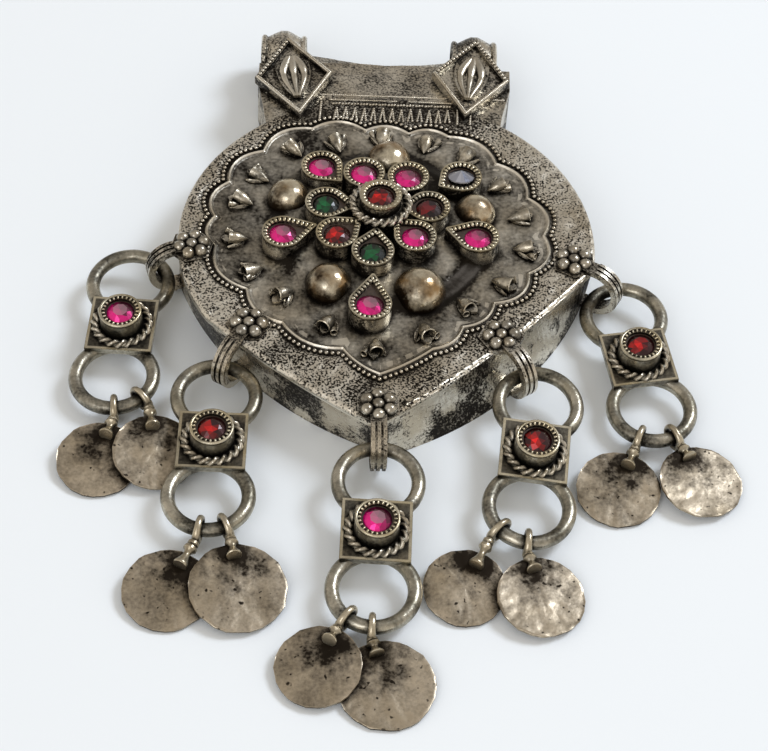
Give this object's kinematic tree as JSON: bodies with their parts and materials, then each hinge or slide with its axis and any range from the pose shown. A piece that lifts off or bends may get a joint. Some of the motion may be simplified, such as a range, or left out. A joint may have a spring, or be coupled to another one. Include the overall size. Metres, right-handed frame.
{
  "type": "amulet box pendant",
  "caption": "Amulet box pendant of sheet silver with a glass rosette between domes, tubular bails at the neck and ring drops that end in hammered discs.",
  "frame": {"origin": "on the flat back plate, under the middle of the rosette", "axes": "+X to the right when the face is seen with the bails at the top, +Y towards the bails, +Z out of the face; the pendant lies on its back plate on z = 0 with its drops spread towards -Y"},
  "size_m": [0.1055, 0.1405, 0.0161],
  "materials": {
    "oxidised_silver": "oxidised silver, worn bright on the high places",
    "wire_silver": "drawn silver wire and sheet, dull grey with dark hollows",
    "disc_silver": "hammered silver sheet, warm grey with dark tarnish",
    "pink_glass": "cut and foil backed",
    "red_glass": "cut and foil backed",
    "dark_red_glass": "cut, with darkened foil",
    "green_glass": "cut, with darkened foil",
    "clear_glass": "cut, grey white"
  },
  "bodies": {
    "root": {"case": "oxidised_silver", "stone_centre": "red_glass", "stone_inner_1": "green_glass", "stone_inner_2": "pink_glass", "stone_inner_3": "dark_red_glass", "stone_inner_4": "pink_glass", "stone_inner_5": "pink_glass", "stone_inner_6": "green_glass", "stone_inner_7": "red_glass", "stone_outer_1": "pink_glass", "stone_outer_2": "pink_glass", "stone_outer_3": "clear_glass", "stone_outer_4": "pink_glass", "stone_outer_5": "pink_glass", "link_1": "wire_silver", "link_2": "wire_silver", "link_3": "wire_silver", "link_4": "wire_silver", "link_5": "wire_silver", "link_stone_1": "pink_glass", "link_stone_2": "red_glass", "link_stone_3": "pink_glass", "link_stone_4": "red_glass", "link_stone_5": "red_glass", "disc_1_left": "disc_silver", "disc_1_right": "disc_silver", "disc_2_left": "disc_silver", "disc_2_right": "disc_silver", "disc_3_left": "disc_silver", "disc_3_right": "disc_silver", "disc_4_left": "disc_silver", "disc_4_right": "disc_silver", "disc_5_left": "disc_silver", "disc_5_right": "disc_silver"}
  },
  "joints": []
}
